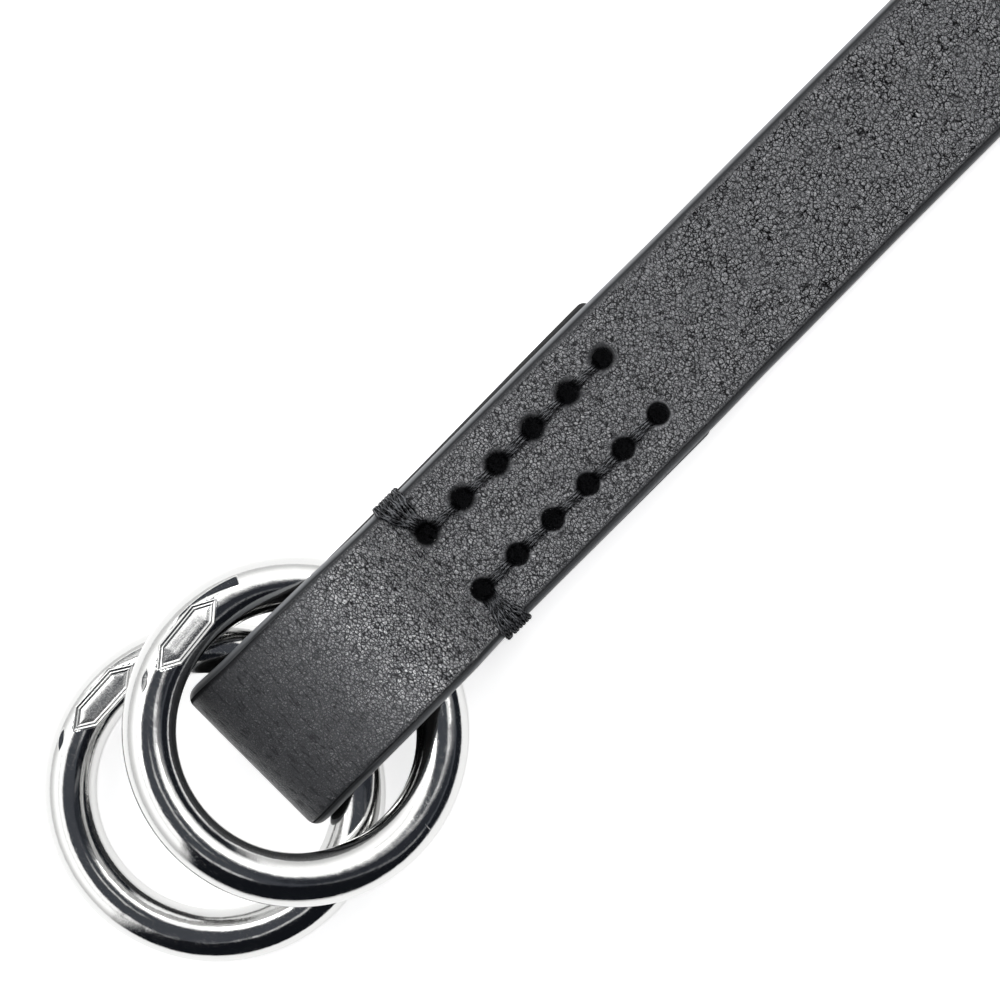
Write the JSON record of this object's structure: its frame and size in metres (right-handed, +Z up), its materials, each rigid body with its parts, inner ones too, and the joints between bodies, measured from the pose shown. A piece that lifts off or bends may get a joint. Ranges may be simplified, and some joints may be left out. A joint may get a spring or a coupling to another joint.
{
  "type": "ring belt",
  "caption": "End of a leather belt with round metal rings held in a folded and laced loop; the free strap is fastened by threading it through the rings.",
  "frame": {"origin": "middle of the whole belt's footprint, on the surface that it lies on", "axes": "+X along the strap from the fold to the free tip, +Z up out of the strap's grain face, +Y to the left seen from above with +X ahead"},
  "size_m": [0.2372, 0.061, 0.027],
  "materials": {
    "leather": "black fine pebbled grain leather, satin, with dark painted edges",
    "ring_metal": "bright nickel or chrome plate on cast metal, mirror polish with fine wear scratches",
    "thread": "black waxed twisted lacing thread"
  },
  "bodies": {
    "strap": {"strap": "leather"},
    "lower_ring": {"ring_lower": "ring_metal"},
    "upper_ring": {"ring_upper": "ring_metal"}
  },
  "joints": [
    {"name": "lower_ring_turn", "type": "hinge", "parent": "strap", "child": "lower_ring", "pos_m": [-0.08947, 0.00128, 0.00645], "axis": [-0.0788, 0, 0.9969], "continuous": true},
    {"name": "upper_ring_turn", "type": "hinge", "parent": "strap", "child": "upper_ring", "pos_m": [-0.07102, -0.00131, 0.01525], "axis": [0.2887, -0.0493, 0.9562], "continuous": true}
  ]
}
